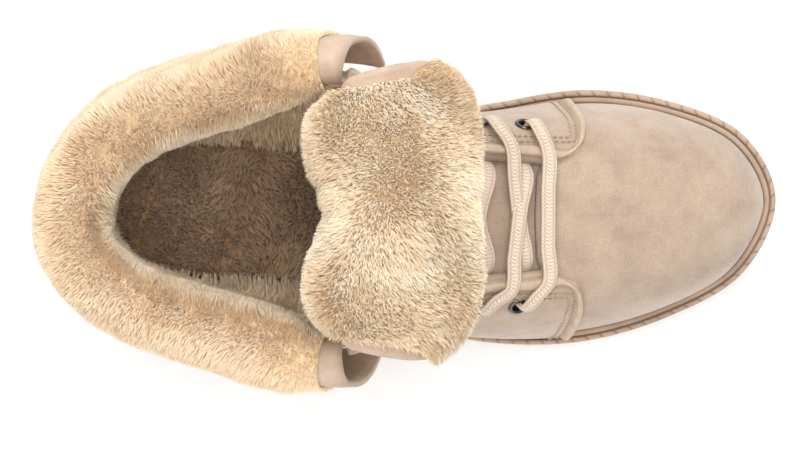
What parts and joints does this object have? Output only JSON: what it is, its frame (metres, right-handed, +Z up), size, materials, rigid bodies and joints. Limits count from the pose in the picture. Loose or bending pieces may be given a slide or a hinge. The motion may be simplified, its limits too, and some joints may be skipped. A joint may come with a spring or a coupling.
{
  "type": "sheepskin boot",
  "caption": "Lace-up ankle boot for the right foot, fur lined, with its collar and tongue folded down, on a lugged sole.",
  "frame": {"origin": "on the floor under the middle of the heel, at the middle of the heel's flat centre block", "axes": "+X towards the toe, +Y towards the inner side of the foot, +Z up"},
  "size_m": [0.296, 0.1434, 0.1787],
  "materials": {
    "leather": "matte",
    "sole": "matte",
    "fur": "pile",
    "footbed": "pile",
    "lace": "woven",
    "metal": "dark"
  },
  "bodies": {
    "root": {"outsole": "sole", "welt": "sole", "insole": "footbed", "upper": "leather", "facing_inner": "leather", "facing_outer": "leather", "heel_counter": "leather", "collar_fur": "fur", "tongue": "leather", "tongue_fur": "fur", "lace_bar": "lace", "lace_crossing_1": "lace", "lace_crossing_2": "lace", "lace_crossing_3": "lace", "eyelet_inner_1": "metal", "eyelet_inner_2": "metal", "eyelet_inner_3": "metal", "eyelet_inner_4": "metal", "eyelet_inner_5": "metal", "eyelet_inner_6": "metal", "eyelet_outer_1": "metal", "eyelet_outer_2": "metal", "eyelet_outer_3": "metal", "eyelet_outer_4": "metal", "eyelet_outer_5": "metal", "eyelet_outer_6": "metal"}
  },
  "joints": []
}
